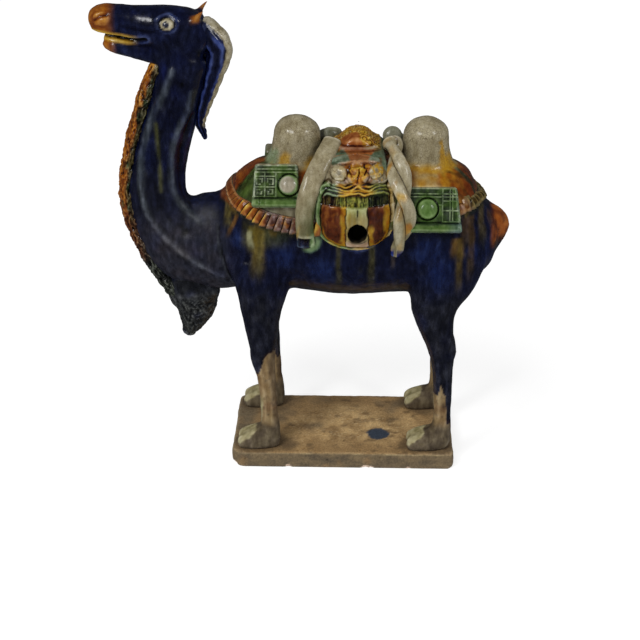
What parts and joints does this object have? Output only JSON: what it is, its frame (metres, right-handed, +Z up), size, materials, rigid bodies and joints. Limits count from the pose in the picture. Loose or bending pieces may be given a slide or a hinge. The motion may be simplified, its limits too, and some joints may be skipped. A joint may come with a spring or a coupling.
{
  "type": "glazed pottery camel figure",
  "caption": "Standing two-humped camel in blue, amber, green and cream glaze, laden with saddlebags, mat boards and silk skeins, on a rectangular clay plinth.",
  "frame": {"origin": "centre of the plinth's underside", "axes": "+Z up, the camel's head towards -X, the side with the round vent hole towards -Y"},
  "size_m": [0.4224, 0.138, 0.4844],
  "materials": {
    "glazed_camel": "glossy lead glaze, cobalt blue with amber, green and cream, fine crackle",
    "clay_plinth": "matte buff clay, stained and worn"
  },
  "bodies": {
    "root": {"camel": "glazed_camel", "plinth": "clay_plinth"}
  },
  "joints": []
}
